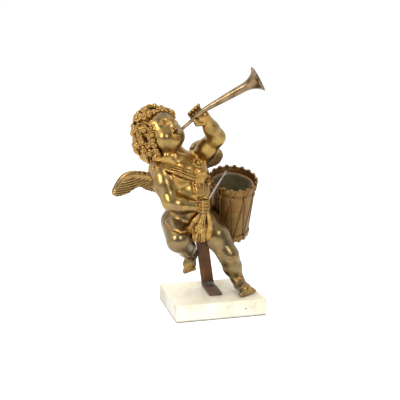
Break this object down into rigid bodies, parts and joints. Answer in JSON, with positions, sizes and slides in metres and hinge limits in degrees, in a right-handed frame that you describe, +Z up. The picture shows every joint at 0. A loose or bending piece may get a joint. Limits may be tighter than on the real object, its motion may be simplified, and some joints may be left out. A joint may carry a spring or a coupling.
{
  "type": "brass cupid figurine",
  "caption": "Winged cupid cast in brass, running with a raised trumpet, a drumstick and an open drum, held up by an iron bracket on a marble slab.",
  "frame": {"origin": "middle of the marble slab's underside", "axes": "+Z up, +X to the viewer's right along the slab's long side, -Y towards the viewer"},
  "size_m": [0.1843, 0.1505, 0.2983],
  "materials": {
    "marble": "honed white marble with faint veins and stains",
    "rusted_iron": "brown rusted flat bar",
    "grey_steel": "dull grey steel",
    "gilt_brass": "aged gilt brass, olive on the skin and gold in the hollows",
    "tan_brass": "worn silvery tan brass",
    "brown_brass": "dull brown brass",
    "grey_brass": "grey worn brass"
  },
  "bodies": {
    "root": {"marble_base": "marble", "support_bracket": "rusted_iron", "bracket_screw": "grey_steel", "bracket_rivet": "grey_steel", "cupid_figure": "gilt_brass", "trumpet": "tan_brass", "drum": "brown_brass", "drumstick": "grey_brass"}
  },
  "joints": []
}
